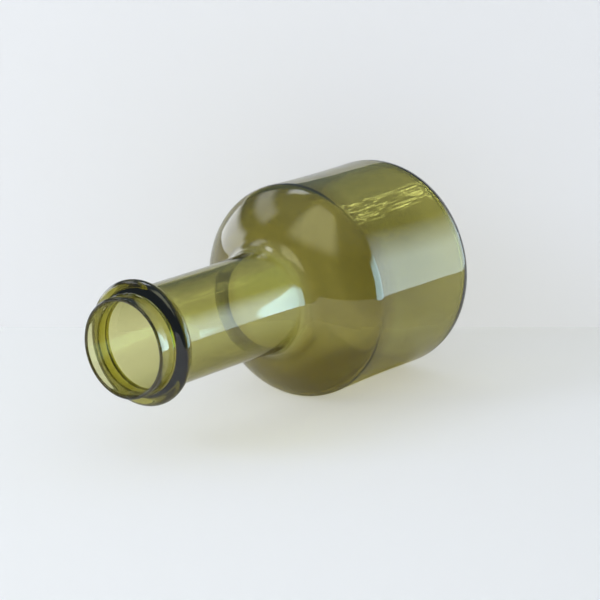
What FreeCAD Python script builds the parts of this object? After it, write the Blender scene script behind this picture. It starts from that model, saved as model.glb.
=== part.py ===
import FreeCAD, Part
import math
import os

# A blown glass bottle, empty and open, lying on its side. It is one piece of glass:
# a fire-polished lip, a bead round the mouth, a straight neck, a domed shoulder,
# a body drawn in a little at its middle, and a base pushed up inside, where it is thick.
# The axis lies along X, with the mouth at the -X end and the base at the +X end.
# The bottle touches the ground at its shoulder and at its heel, where Z is 0.

# ---- Driving dimensions, in millimetres; an X is measured from the mouth ----

LENGTH = 224.0            # mouth to base

NECK_D = 53.6             # outside of the neck
NECK_WALL = 2.6           # glass in the neck
COLLAR_INSET = 0.7        # the collar ahead of the bead is this much finer than the neck

BEAD_X = 14.0             # middle of the bead
BEAD_PROUD = 5.9          # how far the bead stands out from the neck
BEAD_CROWN_R = 3.3        # roundness of the bead's top
BEAD_FLANK_DEG = 15.0     # lean of the bead's sides from square
BEAD_ROOT_R = 1.2         # fillet where the bead runs out on the glass

NECK_FLARE_X = 70.0       # where the neck starts to open
NECK_FLARE_R = 600.0      # long curve that opens it
NECK_ROOT_R = 10.0        # hollow curve from the neck into the shoulder
NECK_ROOT_INSIDE_R = 17.0 # the same curve inside, slower, so the glass is thick there

BODY_D = 117.4            # outside of the body at the shoulder and at the heel
BODY_HOLLOW_R = 1200.0    # long curve that draws the body in at its middle
SHOULDER_X = 140.0        # where the shoulder reaches its full width
SHOULDER_R = 12.0         # tight roll from the dome into the body
SHOULDER_DEG = 38.5       # steepness where the tight roll meets the dome
DOME_R = 54.0             # the dome itself
WALL = 2.8                # glass in the dome and the body

HEEL_R = 11.0             # outside round of the heel
HEEL_INSIDE_R = 8.4       # inside round where the body meets the base
BASE_T = 3.4              # glass in the base, outside its pushed-in middle
BASE_PUSH_UP = 3.0        # how far the middle of the base is pushed in, outside
BASE_INSIDE_RISE = 6.0    # how far the same middle rises inside, so it is thick there
BEARING_D = 78.0          # ring that the bottle stands on when it is upright

RESTING_FLAT_W = 10.0     # width of the flats under the shoulder and the heel

# ---- Points and arcs of the section: a point is (distance from the mouth, radius) ----


def vector(point):
    return FreeCAD.Vector(point[0], 0.0, point[1])


def polar(centre, radius, degrees):
    angle = math.radians(degrees)
    return (centre[0] + radius * math.cos(angle), centre[1] + radius * math.sin(angle))


def towards(centre, other, radius):
    """The point of a circle on the straight way from its centre to another point."""
    share = radius / math.dist(centre, other)
    return (centre[0] + (other[0] - centre[0]) * share,
            centre[1] + (other[1] - centre[1]) * share)


def centres_at(first, first_reach, second, second_reach):
    """The two points that lie at the given distances from two other points."""
    gap = math.dist(first, second)
    along = (gap ** 2 + first_reach ** 2 - second_reach ** 2) / (2.0 * gap)
    across = math.sqrt(first_reach ** 2 - along ** 2)
    foot = towards(first, second, along)
    step = ((second[0] - first[0]) * across / gap, (second[1] - first[1]) * across / gap)
    return (foot[0] - step[1], foot[1] + step[0]), (foot[0] + step[1], foot[1] - step[0])


def line(start, end):
    return Part.LineSegment(vector(start), vector(end)).toShape()


def arc(centre, start, end):
    """The shorter arc round a centre."""
    first = math.degrees(math.atan2(start[1] - centre[1], start[0] - centre[0]))
    last = math.degrees(math.atan2(end[1] - centre[1], end[0] - centre[0]))
    sweep = (last - first + 180.0) % 360.0 - 180.0
    middle = polar(centre, math.dist(centre, start), first + sweep / 2.0)
    return Part.Arc(vector(start), vector(middle), vector(end)).toShape()


# ---- Neck to body: the same run of tangent arcs outside and inside the glass ----

neck_r = NECK_D / 2.0
body_r = BODY_D / 2.0
roll_centre = (SHOULDER_X, body_r - SHOULDER_R)
dome_centre = polar(roll_centre, DOME_R - SHOULDER_R, SHOULDER_DEG - 90.0)
flare_centre = (NECK_FLARE_X, neck_r + NECK_FLARE_R)
heel_centre = (LENGTH - HEEL_R, body_r - HEEL_R)
hollow_centre = max(centres_at(roll_centre, SHOULDER_R + BODY_HOLLOW_R,
                               heel_centre, HEEL_R + BODY_HOLLOW_R),
                    key=lambda centre: centre[1])


def neck_to_body(neck_depth, depth, root_r):
    """Flare, root, dome and roll, at given depths in the glass.

    Gives the edges, the point where the neck starts to open and the point where the
    roll hands over to the long hollow of the body.
    """
    flare_r = NECK_FLARE_R + neck_depth
    dome_r = DOME_R - depth
    roll_r = SHOULDER_R - depth
    root_centre = min(centres_at(flare_centre, flare_r - root_r,
                                 dome_centre, dome_r + root_r))
    neck_end = (NECK_FLARE_X, neck_r - neck_depth)
    root_start = towards(flare_centre, root_centre, flare_r)
    dome_start = towards(dome_centre, root_centre, dome_r)
    roll_start = polar(roll_centre, roll_r, 90.0 + SHOULDER_DEG)
    roll_end = towards(roll_centre, hollow_centre, roll_r)
    edges = [
        arc(flare_centre, neck_end, root_start),
        arc(root_centre, root_start, dome_start),
        arc(dome_centre, dome_start, roll_start),
        arc(roll_centre, roll_start, roll_end),
    ]
    return edges, neck_end, roll_end


# ---- The bead: a round crown on two leaning flanks, filleted on to the glass ----

def bead_side(side, surface_r):
    """One side of the bead: -1 towards the mouth, +1 towards the neck.

    Gives its edges from the glass up to the crown, and its lowest and highest points.
    """
    lean = math.radians(BEAD_FLANK_DEG)
    crown = (BEAD_X, neck_r + BEAD_PROUD - BEAD_CROWN_R)
    top = (crown[0] + side * BEAD_CROWN_R * math.cos(lean),
           crown[1] + BEAD_CROWN_R * math.sin(lean))
    root_r = surface_r + BEAD_ROOT_R
    flank_x = top[0] + side * (top[1] - root_r) * math.tan(lean)
    root = (flank_x + side * BEAD_ROOT_R / math.cos(lean), root_r)
    foot = (root[0], surface_r)
    flank_end = (root[0] - side * BEAD_ROOT_R * math.cos(lean),
                 root[1] - BEAD_ROOT_R * math.sin(lean))
    return [arc(root, foot, flank_end), line(flank_end, top)], foot, top


def lip_to_neck():
    """Round lip, plain collar, bead and straight neck, on the outside."""
    bore_r = neck_r - NECK_WALL
    collar_r = neck_r - COLLAR_INSET
    lip_r = (collar_r - bore_r) / 2.0
    lip_centre = (lip_r, bore_r + lip_r)
    lip_inner = (lip_r, bore_r)
    lip_outer = (lip_r, collar_r)
    front, front_foot, front_top = bead_side(-1.0, collar_r)
    back, back_foot, back_top = bead_side(1.0, neck_r)
    crown = (BEAD_X, neck_r + BEAD_PROUD)
    edges = [
        Part.Arc(vector(lip_inner), vector((0.0, lip_centre[1])), vector(lip_outer)).toShape(),
        line(lip_outer, front_foot),
        *front,
        Part.Arc(vector(front_top), vector(crown), vector(back_top)).toShape(),
        *back,
        line(back_foot, (NECK_FLARE_X, neck_r)),
    ]
    return edges, lip_inner


# ---- Body and base ----

def body_and_base(depth, base_depth, push_up, heel_r, roll_end):
    """Long hollow of the body, heel, flat bearing and pushed-in middle of the base."""
    base_x = LENGTH - base_depth
    hollow_r = BODY_HOLLOW_R + depth
    heel_x = base_x - heel_r
    reach = hollow_r + heel_r
    across = math.sqrt(reach ** 2 - (heel_x - hollow_centre[0]) ** 2)
    heel = (heel_x, hollow_centre[1] - across)
    heel_start = towards(heel, hollow_centre, heel_r)
    heel_end = (base_x, heel[1])
    bearing = (base_x, BEARING_D / 2.0)
    pole = (base_x - push_up, 0.0)
    dish_r = (BEARING_D ** 2 / 4.0 + push_up ** 2) / (2.0 * push_up)
    dish_centre = (pole[0] + dish_r, 0.0)
    edges = [
        arc(hollow_centre, roll_end, heel_start),
        arc(heel, heel_start, heel_end),
        line(heel_end, bearing),
        arc(dish_centre, bearing, pole),
    ]
    return edges, pole


# ---- The bottle ----

def glass_section():
    """Half section of the glass, closed along the axis in the middle of the base."""
    mouth, lip_inner = lip_to_neck()
    skin, _, skin_roll_end = neck_to_body(0.0, 0.0, NECK_ROOT_R)
    outer_base, outer_pole = body_and_base(0.0, 0.0, BASE_PUSH_UP, HEEL_R, skin_roll_end)
    inside, inner_neck_end, inner_roll_end = neck_to_body(NECK_WALL, WALL, NECK_ROOT_INSIDE_R)
    inner_base, inner_pole = body_and_base(WALL, BASE_T, BASE_INSIDE_RISE, HEEL_INSIDE_R,
                                           inner_roll_end)
    edges = mouth + skin + outer_base
    edges += [line(outer_pole, inner_pole)]
    edges += inner_base + inside
    edges += [line(lip_inner, inner_neck_end)]
    return Part.Face(Part.Wire(Part.__sortEdges__(edges)))


def make_bottle():
    axis = FreeCAD.Vector(1.0, 0.0, 0.0)
    glass = glass_section().revolve(FreeCAD.Vector(0.0, 0.0, 0.0), axis, 360.0)

    # The lowest line of the glass is ground flat where the bottle lies on it.
    rest_r = math.sqrt(body_r ** 2 - (RESTING_FLAT_W / 2.0) ** 2)
    ground = Part.makeBox(2.0 * LENGTH, 2.0 * BODY_D, BODY_D)
    ground.translate(FreeCAD.Vector(-LENGTH / 2.0, -BODY_D, -rest_r - BODY_D))
    glass = glass.cut(ground)
    glass.translate(FreeCAD.Vector(-LENGTH / 2.0, 0.0, rest_r))
    return glass.Solids[0]


os.makedirs("parts", exist_ok=True)
make_bottle().exportStep("parts/glass_bottle.step")
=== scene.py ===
import math

import bpy
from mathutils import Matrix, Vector


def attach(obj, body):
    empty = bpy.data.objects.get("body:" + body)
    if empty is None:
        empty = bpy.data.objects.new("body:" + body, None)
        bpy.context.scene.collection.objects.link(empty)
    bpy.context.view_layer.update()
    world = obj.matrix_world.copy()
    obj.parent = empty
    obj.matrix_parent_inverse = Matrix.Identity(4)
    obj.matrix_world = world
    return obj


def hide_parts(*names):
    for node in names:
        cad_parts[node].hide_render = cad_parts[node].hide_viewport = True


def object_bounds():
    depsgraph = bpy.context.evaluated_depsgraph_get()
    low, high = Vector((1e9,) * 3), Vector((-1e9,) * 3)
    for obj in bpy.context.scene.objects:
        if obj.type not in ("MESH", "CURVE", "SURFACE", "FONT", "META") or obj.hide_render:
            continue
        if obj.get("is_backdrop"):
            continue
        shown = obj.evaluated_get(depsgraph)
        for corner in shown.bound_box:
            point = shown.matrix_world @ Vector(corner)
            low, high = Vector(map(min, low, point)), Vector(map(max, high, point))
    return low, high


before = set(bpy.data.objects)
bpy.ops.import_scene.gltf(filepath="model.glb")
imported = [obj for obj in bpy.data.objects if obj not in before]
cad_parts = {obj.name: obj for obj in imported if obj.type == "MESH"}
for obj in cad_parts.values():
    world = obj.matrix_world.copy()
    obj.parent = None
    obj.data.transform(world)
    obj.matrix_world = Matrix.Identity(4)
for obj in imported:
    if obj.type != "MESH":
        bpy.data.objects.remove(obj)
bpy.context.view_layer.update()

# ---- The blown body of glass ----
# One piece of olive-green glass, blown and turned by hand: a round lip, a bead round the
# mouth, a straight neck, a domed shoulder, a body drawn in a little at its middle and a
# thick base that is pushed up inside. It lies on its side, on its shoulder and its heel.

MM = 0.001

LENGTH = 224.0
NECK_D = 53.6
NECK_WALL = 2.6
COLLAR_INSET = 0.7

BEAD_X = 14.0
BEAD_PROUD = 5.9
BEAD_CROWN_R = 3.3
BEAD_FLANK_DEG = 15.0
BEAD_ROOT_R = 1.2

NECK_FLARE_X = 70.0
NECK_FLARE_R = 600.0
NECK_ROOT_R = 10.0
NECK_ROOT_INSIDE_R = 17.0

BODY_D = 117.4
BODY_HOLLOW_R = 1200.0
SHOULDER_X = 140.0
SHOULDER_R = 12.0
SHOULDER_DEG = 38.5
DOME_R = 54.0
WALL = 2.8

HEEL_R = 11.0
HEEL_INSIDE_R = 8.4
BASE_T = 3.4
BASE_PUSH_UP = 3.0
BASE_INSIDE_RISE = 6.0
BEARING_D = 78.0

RESTING_FLAT_W = 10.0
TURNS = 320                # flat sides that stand for one full turn of the glass

# How many straight pieces stand for each curve of the section.
FLARE_STEPS = 5
ROOT_STEPS = 16
DOME_STEPS = 30
ROLL_STEPS = 14
HOLLOW_STEPS = 10
HEEL_STEPS = 16
DISH_STEPS = 10
BEAD_ROOT_STEPS = 6
CROWN_STEPS = 16
LIP_STEPS = 12

neck_r = NECK_D / 2
body_r = BODY_D / 2
rest_r = math.sqrt(body_r ** 2 - (RESTING_FLAT_W / 2) ** 2)


def polar(centre, radius, degrees):
    angle = math.radians(degrees)
    return (centre[0] + radius * math.cos(angle), centre[1] + radius * math.sin(angle))


def towards(centre, other, radius):
    share = radius / math.dist(centre, other)
    return (centre[0] + (other[0] - centre[0]) * share,
            centre[1] + (other[1] - centre[1]) * share)


def centres_at(first, first_reach, second, second_reach):
    gap = math.dist(first, second)
    along = (gap ** 2 + first_reach ** 2 - second_reach ** 2) / (2 * gap)
    across = math.sqrt(first_reach ** 2 - along ** 2)
    foot = towards(first, second, along)
    step = ((second[0] - first[0]) * across / gap, (second[1] - first[1]) * across / gap)
    return (foot[0] - step[1], foot[1] + step[0]), (foot[0] + step[1], foot[1] - step[0])


def arc(centre, start, end, steps):
    """Points of the shorter arc round a centre, without its last one."""
    first = math.degrees(math.atan2(start[1] - centre[1], start[0] - centre[0]))
    last = math.degrees(math.atan2(end[1] - centre[1], end[0] - centre[0]))
    sweep = (last - first + 180) % 360 - 180
    radius = math.dist(centre, start)
    return [polar(centre, radius, first + sweep * k / steps) for k in range(steps)]


def straight(start, end, steps):
    return [(start[0] + (end[0] - start[0]) * k / steps,
             start[1] + (end[1] - start[1]) * k / steps) for k in range(steps)]


roll_centre = (SHOULDER_X, body_r - SHOULDER_R)
dome_centre = polar(roll_centre, DOME_R - SHOULDER_R, SHOULDER_DEG - 90)
flare_centre = (NECK_FLARE_X, neck_r + NECK_FLARE_R)
hollow_centre = max(centres_at(roll_centre, SHOULDER_R + BODY_HOLLOW_R,
                               (LENGTH - HEEL_R, body_r - HEEL_R), HEEL_R + BODY_HOLLOW_R),
                    key=lambda centre: centre[1])


def neck_to_base(neck_depth, depth, root_r, base_depth, push_up, heel_r):
    """The run from the neck to the middle of the base, at given depths in the glass."""
    flare_r = NECK_FLARE_R + neck_depth
    dome_r = DOME_R - depth
    roll_r = SHOULDER_R - depth
    root_centre = min(centres_at(flare_centre, flare_r - root_r, dome_centre, dome_r + root_r))
    neck_end = (NECK_FLARE_X, neck_r - neck_depth)
    root_start = towards(flare_centre, root_centre, flare_r)
    dome_start = towards(dome_centre, root_centre, dome_r)
    roll_start = polar(roll_centre, roll_r, 90 + SHOULDER_DEG)
    roll_end = towards(roll_centre, hollow_centre, roll_r)
    base_x = LENGTH - base_depth
    hollow_r = BODY_HOLLOW_R + depth
    heel_x = base_x - heel_r
    drop = math.sqrt((hollow_r + heel_r) ** 2 - (heel_x - hollow_centre[0]) ** 2)
    heel = (heel_x, hollow_centre[1] - drop)
    heel_start = towards(heel, hollow_centre, heel_r)
    heel_end = (base_x, heel[1])
    bearing = (base_x, BEARING_D / 2)
    pole = (base_x - push_up, 0.0)
    dish_r = (BEARING_D ** 2 / 4 + push_up ** 2) / (2 * push_up)
    run = arc(flare_centre, neck_end, root_start, FLARE_STEPS)
    run += arc(root_centre, root_start, dome_start, ROOT_STEPS)
    run += arc(dome_centre, dome_start, roll_start, DOME_STEPS)
    run += arc(roll_centre, roll_start, roll_end, ROLL_STEPS)
    run += arc(hollow_centre, roll_end, heel_start, HOLLOW_STEPS)
    run += arc(heel, heel_start, heel_end, HEEL_STEPS)
    run += straight(heel_end, bearing, 2)
    run += arc((pole[0] + dish_r, 0.0), bearing, pole, DISH_STEPS)
    return run + [pole]


def bead_side(side, surface_r):
    """One side of the bead, from the glass up to its crown."""
    lean = math.radians(BEAD_FLANK_DEG)
    top = (BEAD_X + side * BEAD_CROWN_R * math.cos(lean),
           neck_r + BEAD_PROUD - BEAD_CROWN_R + BEAD_CROWN_R * math.sin(lean))
    root_r = surface_r + BEAD_ROOT_R
    flank_x = top[0] + side * (top[1] - root_r) * math.tan(lean)
    root = (flank_x + side * BEAD_ROOT_R / math.cos(lean), root_r)
    flank_end = (root[0] - side * BEAD_ROOT_R * math.cos(lean),
                 root[1] - BEAD_ROOT_R * math.sin(lean))
    return (arc(root, (root[0], surface_r), flank_end, BEAD_ROOT_STEPS)
            + straight(flank_end, top, 2))


# The section of the glass, from the middle of the base inside, out over the lip and back
# along the outside to the middle of the base.
bore_r = neck_r - NECK_WALL
collar_r = neck_r - COLLAR_INSET
lip_r = (collar_r - bore_r) / 2
lip_centre = (lip_r, bore_r + lip_r)
inside = neck_to_base(NECK_WALL, WALL, NECK_ROOT_INSIDE_R, BASE_T,
                      BASE_INSIDE_RISE, HEEL_INSIDE_R)
outside = neck_to_base(0.0, 0.0, NECK_ROOT_R, 0.0, BASE_PUSH_UP, HEEL_R)
front = bead_side(-1, collar_r)
back = list(reversed(bead_side(1, neck_r)))

section = list(reversed(inside))
section += straight(inside[0], (lip_r, bore_r), 6)[1:]
section += [polar(lip_centre, lip_r, -90 - 180 * k / LIP_STEPS) for k in range(LIP_STEPS)]
section += straight((lip_r, collar_r), front[0], 3)
section += front
section += [polar((BEAD_X, neck_r + BEAD_PROUD - BEAD_CROWN_R), BEAD_CROWN_R,
                  180 - BEAD_FLANK_DEG - (180 - 2 * BEAD_FLANK_DEG) * k / CROWN_STEPS)
            for k in range(CROWN_STEPS + 1)]
section += back
section += straight(back[-1], outside[0], 5)[1:]
section += outside

strip = bpy.data.meshes.new("glass_section")
strip.from_pydata([((x - LENGTH / 2) * MM, r * MM, 0.0) for x, r in section],
                  [(k, k + 1) for k in range(len(section) - 1)], [])
bottle = bpy.data.objects.new("glass_bottle_blown", strip)
bpy.context.scene.collection.objects.link(bottle)

# The glass itself: clear, olive, darker where it is thicker, with the slow waves and the faint
# drawn lines that turning by hand leaves in it. Its shoulder and its rims also carry painted
# shade in their surface colour.
GLASS_BENDING = 1.6        # index of refraction
GLASS_COLOUR = (0.745, 0.72, 0.14)
GLASS_DENSITY = 450.0
LIGHT_THROUGH = (1.0, 0.97, 0.45)
# Painted shade on the shoulder: where along the axis it runs, in mm, and its colour.
SHOULDER_SHADE_FROM = -8.0
SHOULDER_SHADE_TO = 42.0
SHOULDER_SHADE_FULL = (0.25, 0.72)  # share of that run where the painted shade is full
SHOULDER_SHADE_COLOUR = (0.70, 0.64, 0.46)
# Painted shade at the rims: where on the slant it starts, and its colour.
RIM_SHADE_FROM = 0.28
RIM_SHADE_COLOUR = (0.20, 0.19, 0.22)
glass = bpy.data.materials.new("olive_blown_glass")
glass.use_nodes = True
nodes = glass.node_tree.nodes
links = glass.node_tree.links
nodes.clear()

place = nodes.new("ShaderNodeTexCoord")
drawn = nodes.new("ShaderNodeMapping")
drawn.inputs["Scale"].default_value = (9.0, 60.0, 60.0)
links.new(place.outputs["Object"], drawn.inputs["Vector"])
waves = nodes.new("ShaderNodeTexNoise")
waves.inputs["Scale"].default_value = 26.0
waves.inputs["Detail"].default_value = 1.0
links.new(place.outputs["Object"], waves.inputs["Vector"])
lines = nodes.new("ShaderNodeTexNoise")
lines.inputs["Scale"].default_value = 1.0
lines.inputs["Detail"].default_value = 2.0
links.new(drawn.outputs["Vector"], lines.inputs["Vector"])
wave_bump = nodes.new("ShaderNodeBump")
wave_bump.inputs["Strength"].default_value = 0.35
wave_bump.inputs["Distance"].default_value = 0.0006
links.new(waves.outputs["Fac"], wave_bump.inputs["Height"])
line_bump = nodes.new("ShaderNodeBump")
line_bump.inputs["Strength"].default_value = 0.2
line_bump.inputs["Distance"].default_value = 0.0001
links.new(lines.outputs["Fac"], line_bump.inputs["Height"])
links.new(wave_bump.outputs["Normal"], line_bump.inputs["Normal"])

surface = nodes.new("ShaderNodeBsdfPrincipled")
# Painted shade: the shoulder's surface colour is darkened below the rest, to stand for the
# shaded table seen through it under the bottle; the glass there is no heavier. Its wall is as
# thick as the body's.
apart = nodes.new("ShaderNodeSeparateXYZ")
links.new(place.outputs["Object"], apart.inputs[0])
shoulder_shade_run = nodes.new("ShaderNodeMapRange")
shoulder_shade_run.inputs["From Min"].default_value = SHOULDER_SHADE_FROM * MM
shoulder_shade_run.inputs["From Max"].default_value = SHOULDER_SHADE_TO * MM
links.new(apart.outputs["X"], shoulder_shade_run.inputs["Value"])
painted_shoulder_shade = nodes.new("ShaderNodeValToRGB")
stops = painted_shoulder_shade.color_ramp.elements
stops[0].position = 0.0
stops[0].color = (1.0, 1.0, 1.0, 1.0)
stops[1].position = 1.0
stops[1].color = (1.0, 1.0, 1.0, 1.0)
for position in SHOULDER_SHADE_FULL:
    stops.new(position).color = (*SHOULDER_SHADE_COLOUR, 1.0)
links.new(shoulder_shade_run.outputs["Result"], painted_shoulder_shade.inputs["Fac"])
# Painted shade: towards its edges, where the glass is looked through lengthwise, the surface
# colour is darkened more than its thickness alone gives, as a dark rim for the shade seen
# there.
slant = nodes.new("ShaderNodeLayerWeight")
slant.inputs["Blend"].default_value = 0.5
rim_shade_share = nodes.new("ShaderNodeMapRange")
rim_shade_share.inputs["From Min"].default_value = RIM_SHADE_FROM
links.new(slant.outputs["Facing"], rim_shade_share.inputs["Value"])
# The painted rim shade is multiplied into the glass colour here.
edges = nodes.new("ShaderNodeMix")
edges.data_type = "RGBA"
edges.blend_type = "MULTIPLY"
edges.inputs[7].default_value = (*RIM_SHADE_COLOUR, 1.0)
links.new(rim_shade_share.outputs["Result"], edges.inputs[0])
links.new(painted_shoulder_shade.outputs["Color"], edges.inputs[6])
links.new(edges.outputs[2], surface.inputs["Base Color"])
surface.inputs["Roughness"].default_value = 0.0
surface.inputs["IOR"].default_value = GLASS_BENDING
surface.inputs["Transmission Weight"].default_value = 1.0
links.new(line_bump.outputs["Normal"], surface.inputs["Normal"])

# Light that falls through the glass on to the table goes straight and is only coloured.
clear = nodes.new("ShaderNodeBsdfTransparent")
clear.inputs["Color"].default_value = (*LIGHT_THROUGH, 1.0)
path = nodes.new("ShaderNodeLightPath")
for_lamps = nodes.new("ShaderNodeMixShader")
links.new(path.outputs["Is Shadow Ray"], for_lamps.inputs[0])
links.new(surface.outputs[0], for_lamps.inputs[1])
links.new(clear.outputs[0], for_lamps.inputs[2])
for_room = nodes.new("ShaderNodeMixShader")
links.new(path.outputs["Is Diffuse Ray"], for_room.inputs[0])
links.new(for_lamps.outputs[0], for_room.inputs[1])
links.new(clear.outputs[0], for_room.inputs[2])

tint = nodes.new("ShaderNodeVolumeAbsorption")
tint.inputs["Color"].default_value = (*GLASS_COLOUR, 1.0)
tint.inputs["Density"].default_value = GLASS_DENSITY

out = nodes.new("ShaderNodeOutputMaterial")
links.new(for_room.outputs[0], out.inputs["Surface"])
links.new(tint.outputs[0], out.inputs["Volume"])

# The section is turned round the bottle's axis, as the glass was turned on its iron.
turning = bpy.data.node_groups.new("turn_the_section", "GeometryNodeTree")
face = turning.interface
face.new_socket("Section", in_out="INPUT", socket_type="NodeSocketGeometry")
face.new_socket("Turns", in_out="INPUT", socket_type="NodeSocketInt")
face.new_socket("Axis height", in_out="INPUT", socket_type="NodeSocketFloat")
face.new_socket("Glass", in_out="INPUT", socket_type="NodeSocketMaterial")
face.new_socket("Bottle", in_out="OUTPUT", socket_type="NodeSocketGeometry")
tree = turning.nodes
join = turning.links
given = tree.new("NodeGroupInput")
made = tree.new("NodeGroupOutput")


def maths(operation, first, second=None):
    """A Math node on two sockets or numbers; gives its output."""
    node = tree.new("ShaderNodeMath")
    node.operation = operation
    for socket, value in zip(node.inputs, (first, second)):
        if isinstance(value, (int, float)):
            socket.default_value = value
        elif value is not None:
            join.new(value, socket)
    return node.outputs[0]


size = tree.new("GeometryNodeAttributeDomainSize")
size.component = "MESH"
join.new(given.outputs["Section"], size.inputs[0])
rows = maths("ADD", given.outputs["Turns"], 1)
grid = tree.new("GeometryNodeMeshGrid")
join.new(size.outputs["Point Count"], grid.inputs["Vertices X"])
join.new(rows, grid.inputs["Vertices Y"])
index = tree.new("GeometryNodeInputIndex").outputs[0]
along = maths("FLOOR", maths("DIVIDE", maths("ADD", index, 0.5), rows))
round_it = maths("SUBTRACT", index, maths("MULTIPLY", along, rows))
angle = maths("MULTIPLY", maths("DIVIDE", round_it, given.outputs["Turns"]), math.tau)
where = tree.new("GeometryNodeInputPosition")
sample = tree.new("GeometryNodeSampleIndex")
sample.data_type = "FLOAT_VECTOR"
join.new(given.outputs["Section"], sample.inputs["Geometry"])
join.new(where.outputs[0], sample.inputs["Value"])
join.new(along, sample.inputs["Index"])
parts = tree.new("ShaderNodeSeparateXYZ")
join.new(sample.outputs[0], parts.inputs[0])
across = maths("MULTIPLY", parts.outputs["Y"], maths("SINE", angle))
up = maths("MULTIPLY", parts.outputs["Y"], maths("COSINE", angle))
height = maths("MAXIMUM", maths("ADD", up, given.outputs["Axis height"]), 0.0)
point = tree.new("ShaderNodeCombineXYZ")
join.new(parts.outputs["X"], point.inputs["X"])
join.new(across, point.inputs["Y"])
join.new(height, point.inputs["Z"])
shape = tree.new("GeometryNodeSetPosition")
join.new(grid.outputs["Mesh"], shape.inputs["Geometry"])
join.new(point.outputs[0], shape.inputs["Position"])
weld = tree.new("GeometryNodeMergeByDistance")
weld.inputs["Distance"].default_value = 0.002 * MM
join.new(shape.outputs[0], weld.inputs["Geometry"])
smooth = tree.new("GeometryNodeSetShadeSmooth")
join.new(weld.outputs[0], smooth.inputs["Geometry"])
real = tree.new("GeometryNodeRealizeInstances")
join.new(smooth.outputs[0], real.inputs["Geometry"])
coat = tree.new("GeometryNodeSetMaterial")
join.new(real.outputs[0], coat.inputs["Geometry"])
join.new(given.outputs["Glass"], coat.inputs["Material"])
join.new(coat.outputs[0], made.inputs["Bottle"])

lathe = bottle.modifiers.new("turn_the_section", "NODES")
lathe.node_group = turning
for socket in face.items_tree:
    if socket.name == "Turns":
        lathe[socket.identifier] = TURNS
    if socket.name == "Axis height":
        lathe[socket.identifier] = rest_r * MM
    if socket.name == "Glass":
        lathe[socket.identifier] = glass

bpy.context.view_layer.update()
shown = bottle.evaluated_get(bpy.context.evaluated_depsgraph_get())
turned = bpy.data.meshes.new_from_object(shown)
bottle.modifiers.remove(lathe)
bottle.data = turned
turned.name = "glass_bottle_blown"

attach(bottle, "root")
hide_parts("glass_bottle")

# ---- The camera ----
# It stands in front of the mouth, to its left, and looks down at the bottle a little.
HEADING = 38.313
PITCH = 15.762
camera_data = bpy.data.cameras.new("camera")
camera_data.lens = 145.9
camera_data.sensor_width = 36.0
camera = bpy.data.objects.new("camera", camera_data)
camera.location = (-0.96465, -0.78634, 0.41037)
camera.rotation_euler = (math.radians(90 - PITCH), 0.0, math.radians(HEADING - 90))
bpy.context.scene.collection.objects.link(camera)
bpy.context.scene.camera = camera

# ---- The table and the wall behind it ----
# A plain pale table and a plain pale wall. The wall shows from its front alone. In what
# the glass mirrors, both end a little way off, so that the room beyond them shows too.
ahead = Vector((math.cos(math.radians(HEADING)), math.sin(math.radians(HEADING)), 0.0))
right = Vector((ahead.y, -ahead.x, 0.0))
TABLE_Z = -0.0001
WALL_AHEAD = 0.1494
TABLE_NEAR = 0.56
TABLE_RIGHT = 0.50
WALL_LEFT = 0.10
WALL_RIGHT = 0.20
WALL_TOP = 0.14


def plain(name, colour, glow, edges, one_sided):
    """A matt surface of one colour; what is mirrored ends at the edges: (way, distance).

    Part of what shows of it, the glow, is its colour as written, so its shadows stay soft.
    """
    material = bpy.data.materials.new(name)
    material.use_nodes = True
    tree = material.node_tree
    matt = tree.nodes["Principled BSDF"]
    matt.inputs["Base Color"].default_value = (*colour, 1.0)
    matt.inputs["Roughness"].default_value = 1.0
    matt.inputs["Specular IOR Level"].default_value = 0.0
    seen = tree.nodes.new("ShaderNodeNewGeometry")
    rays = tree.nodes.new("ShaderNodeLightPath")
    beyond = None
    for way, distance in edges:
        reach = tree.nodes.new("ShaderNodeVectorMath")
        reach.operation = "DOT_PRODUCT"
        reach.inputs[1].default_value = way
        tree.links.new(seen.outputs["Position"], reach.inputs[0])
        past = tree.nodes.new("ShaderNodeMath")
        past.operation = "GREATER_THAN"
        past.inputs[1].default_value = distance
        tree.links.new(reach.outputs["Value"], past.inputs[0])
        if beyond is None:
            beyond = past.outputs[0]
        else:
            either = tree.nodes.new("ShaderNodeMath")
            either.operation = "MAXIMUM"
            tree.links.new(beyond, either.inputs[0])
            tree.links.new(past.outputs[0], either.inputs[1])
            beyond = either.outputs[0]
    open_to = tree.nodes.new("ShaderNodeMath")
    open_to.operation = "MULTIPLY"
    tree.links.new(beyond, open_to.inputs[0])
    tree.links.new(rays.outputs["Is Glossy Ray"], open_to.inputs[1])
    if one_sided:
        both = tree.nodes.new("ShaderNodeMath")
        both.operation = "MAXIMUM"
        tree.links.new(open_to.outputs[0], both.inputs[0])
        tree.links.new(seen.outputs["Backfacing"], both.inputs[1])
        open_to = both
    written = tree.nodes.new("ShaderNodeEmission")
    written.inputs["Color"].default_value = (*colour, 1.0)
    share = tree.nodes.new("ShaderNodeMath")
    share.operation = "MULTIPLY"
    share.inputs[1].default_value = glow
    tree.links.new(rays.outputs["Is Camera Ray"], share.inputs[0])
    lit = tree.nodes.new("ShaderNodeMixShader")
    tree.links.new(share.outputs[0], lit.inputs[0])
    tree.links.new(matt.outputs[0], lit.inputs[1])
    tree.links.new(written.outputs[0], lit.inputs[2])
    gone = tree.nodes.new("ShaderNodeBsdfTransparent")
    mix = tree.nodes.new("ShaderNodeMixShader")
    tree.links.new(open_to.outputs[0], mix.inputs[0])
    tree.links.new(lit.outputs[0], mix.inputs[1])
    tree.links.new(gone.outputs[0], mix.inputs[2])
    tree.links.new(mix.outputs[0], tree.nodes["Material Output"].inputs["Surface"])
    return material


def panel(name, corners, material):
    mesh = bpy.data.meshes.new(name)
    mesh.from_pydata(corners, [], [tuple(range(len(corners)))])
    mesh.materials.append(material)
    made_panel = bpy.data.objects.new(name, mesh)
    bpy.context.scene.collection.objects.link(made_panel)
    made_panel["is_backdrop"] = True
    return made_panel


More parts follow.
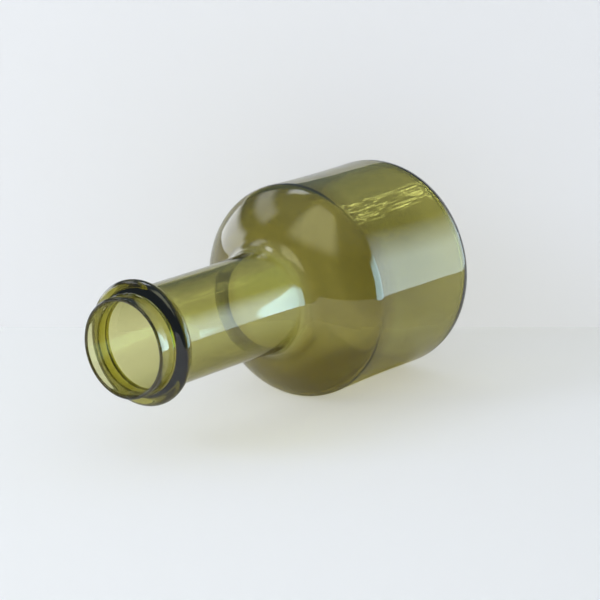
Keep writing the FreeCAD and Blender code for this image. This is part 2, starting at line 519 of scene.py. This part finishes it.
panel("table", [(-6, -6, TABLE_Z), (6, -6, TABLE_Z), (6, 6, TABLE_Z), (-6, 6, TABLE_Z)],
      plain("pale_table", (0.79, 0.82, 0.845), 0.4,
            [(-ahead, TABLE_NEAR), (right, TABLE_RIGHT)], False))
foot = ahead * WALL_AHEAD
ends = (foot - right * 3.0, foot + right * 3.0)
panel("wall", [(ends[1].x, ends[1].y, TABLE_Z), (ends[1].x, ends[1].y, 3.0),
               (ends[0].x, ends[0].y, 3.0), (ends[0].x, ends[0].y, TABLE_Z)],
      plain("pale_wall", (0.835, 0.86, 0.895), 0.45,
            [(-right, WALL_LEFT), (right, WALL_RIGHT), ((0.0, 0.0, 1.0), WALL_TOP)], True))

# ---- The light ----
# Soft daylight: a pale room all round, and a wide soft lamp from the left that lays the
# shadow to the right.


def lamp(name, bearing, elevation, away, width, height, power, colour, aim=(0.02, 0.0, 0.06)):
    """A soft square lamp at a bearing to the right of the camera's own, aimed at the glass."""
    turn = math.radians(HEADING - bearing)
    rise = math.radians(elevation)
    out_from = Vector((math.cos(turn) * math.cos(rise), math.sin(turn) * math.cos(rise),
                       math.sin(rise)))
    data = bpy.data.lights.new(name, "AREA")
    data.shape = "RECTANGLE"
    data.size = width
    data.size_y = height
    data.energy = power
    data.color = colour
    made_lamp = bpy.data.objects.new(name, data)
    made_lamp.location = Vector(aim) + out_from * away
    made_lamp.rotation_euler = (-out_from).to_track_quat("-Z", "Y").to_euler()
    bpy.context.scene.collection.objects.link(made_lamp)
    return made_lamp


key = lamp("soft_lamp", bearing=-110, elevation=28, away=2.0, width=0.8, height=0.8,
           power=20.0, colour=(1.0, 0.99, 0.98))
key.visible_glossy = False
key.visible_transmission = False

# What the glass mirrors: a dim room with a bright window to the right, a paler opening
# beside it, daylight from the left and a soft glow overhead.
AMBIENT = 0.80
world = bpy.data.worlds.new("room")
bpy.context.scene.world = world
world.use_nodes = True
room = world.node_tree
room.nodes.clear()


def room_maths(operation, first, second=0.0, clamp=False):
    node = room.nodes.new("ShaderNodeMath")
    node.operation = operation
    node.use_clamp = clamp
    for socket, value in zip(node.inputs, (first, second)):
        if isinstance(value, (int, float)):
            socket.default_value = value
        else:
            room.links.new(value, socket)
    return node.outputs[0]


def between(value, low, high, soft):
    """1 between two angles, falling to 0 over a soft edge outside them."""
    start = room_maths("MULTIPLY", room_maths("SUBTRACT", value, low - soft), 1 / soft, True)
    stop = room_maths("MULTIPLY", room_maths("SUBTRACT", high + soft, value), 1 / soft, True)
    return room_maths("MULTIPLY", start, stop)


look = room.nodes.new("ShaderNodeTexCoord")
axes = room.nodes.new("ShaderNodeSeparateXYZ")
room.links.new(look.outputs["Generated"], axes.inputs[0])
rise = room_maths("MULTIPLY", room_maths("ARCSINE", axes.outputs["Z"]), 180 / math.pi)
turned_by = room_maths("MULTIPLY", room_maths("ARCTAN2", axes.outputs["Y"], axes.outputs["X"]),
                       180 / math.pi)
bearing = room_maths("SUBTRACT", HEADING, turned_by)
bearing = room_maths("WRAP", bearing, 180.0)
bearing.node.inputs[2].default_value = -180.0


def scaled(colour, share):
    """A colour, a socket or three numbers, times a share."""
    node = room.nodes.new("ShaderNodeVectorMath")
    node.operation = "SCALE"
    if isinstance(colour, tuple):
        node.inputs[0].default_value = colour
    else:
        room.links.new(colour, node.inputs[0])
    room.links.new(share, node.inputs["Scale"])
    return node.outputs[0]


def summed(first, second):
    node = room.nodes.new("ShaderNodeVectorMath")
    node.operation = "ADD"
    room.links.new(first, node.inputs[0])
    room.links.new(second, node.inputs[1])
    return node.outputs[0]


INNER_SHARE = 0.3          # how much of an opening shows in the inner faces of the glass
OPENINGS = [
    # bearing from, to and softness, rise from, to and softness, colour
    (82, 123, 0.8, -14, 20, 8.0, (2.8, 4.7, 5.9)),
    (52, 82, 8.0, -14, 12, 19.0, (2.8, 3.5, 3.9)),
    (-76, -30, 4.0, -10, 12, 5.0, (2.6, 2.7, 2.9)),
    (-165, -122, 12.0, 36, 70, 10.0, (1.7, 1.7, 1.1)),
    (-84, -48, 8.0, 31, 39, 6.0, (1.3, 1.35, 1.45)),
    (-60, -20, 5.0, 56, 64, 5.0, (3.0, 3.2, 3.5)),
]
total = None
for first, last, side_soft, low, high, soft, colour in OPENINGS:
    share = room_maths("MULTIPLY", between(bearing, first, last, side_soft),
                       between(rise, low, high, soft))
    bright = scaled(colour, share)
    total = bright if total is None else summed(total, bright)
overhead = room_maths("MULTIPLY_ADD", between(rise, 50, 100, 20), 0.15)
overhead.node.inputs[2].default_value = 0.22
dim = scaled((0.85, 1.05, 1.15), overhead)
# Sunlit leaves beyond the window, as small bright flecks.
leaf_place = room.nodes.new("ShaderNodeCombineXYZ")
room.links.new(room_maths("MULTIPLY", bearing, 1.5), leaf_place.inputs["X"])
room.links.new(room_maths("MULTIPLY", rise, 0.9), leaf_place.inputs["Y"])
leaves = room.nodes.new("ShaderNodeTexNoise")
leaves.inputs["Scale"].default_value = 1.0
leaves.inputs["Detail"].default_value = 3.0
room.links.new(leaf_place.outputs[0], leaves.inputs["Vector"])
fleck = room_maths("MULTIPLY", room_maths("SUBTRACT", leaves.outputs["Fac"], 0.54), 12.0, True)
tree_share = room_maths("MULTIPLY", fleck, room_maths(
    "MULTIPLY", between(bearing, 32, 50, 3.0), between(rise, 31, 41, 3.0)))
total = summed(total, scaled((6.0, 6.2, 1.9), tree_share))

rays = room.nodes.new("ShaderNodeLightPath")
inner_share = room_maths("MULTIPLY_ADD", rays.outputs["Is Transmission Ray"],
                         INNER_SHARE - 1.0)
inner_share.node.inputs[2].default_value = 1.0
mirrored = room.nodes.new("ShaderNodeBackground")
room.links.new(summed(scaled(total, inner_share), dim), mirrored.inputs["Color"])
ambient = room.nodes.new("ShaderNodeBackground")
ambient.inputs["Color"].default_value = (1.0, 1.0, 1.0, 1.0)
ambient.inputs["Strength"].default_value = AMBIENT
pale = room.nodes.new("ShaderNodeBackground")
pale.inputs["Color"].default_value = (0.83, 0.87, 0.93, 1.0)
in_glass = room_maths("MAXIMUM", rays.outputs["Is Glossy Ray"],
                      rays.outputs["Is Transmission Ray"])
first_mix = room.nodes.new("ShaderNodeMixShader")
room.links.new(in_glass, first_mix.inputs[0])
room.links.new(ambient.outputs[0], first_mix.inputs[1])
room.links.new(mirrored.outputs[0], first_mix.inputs[2])
second_mix = room.nodes.new("ShaderNodeMixShader")
room.links.new(rays.outputs["Is Camera Ray"], second_mix.inputs[0])
room.links.new(first_mix.outputs[0], second_mix.inputs[1])
room.links.new(pale.outputs[0], second_mix.inputs[2])
sky = room.nodes.new("ShaderNodeOutputWorld")
room.links.new(second_mix.outputs[0], sky.inputs["Surface"])

bpy.context.scene.view_settings.view_transform = "Standard"

low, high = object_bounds()
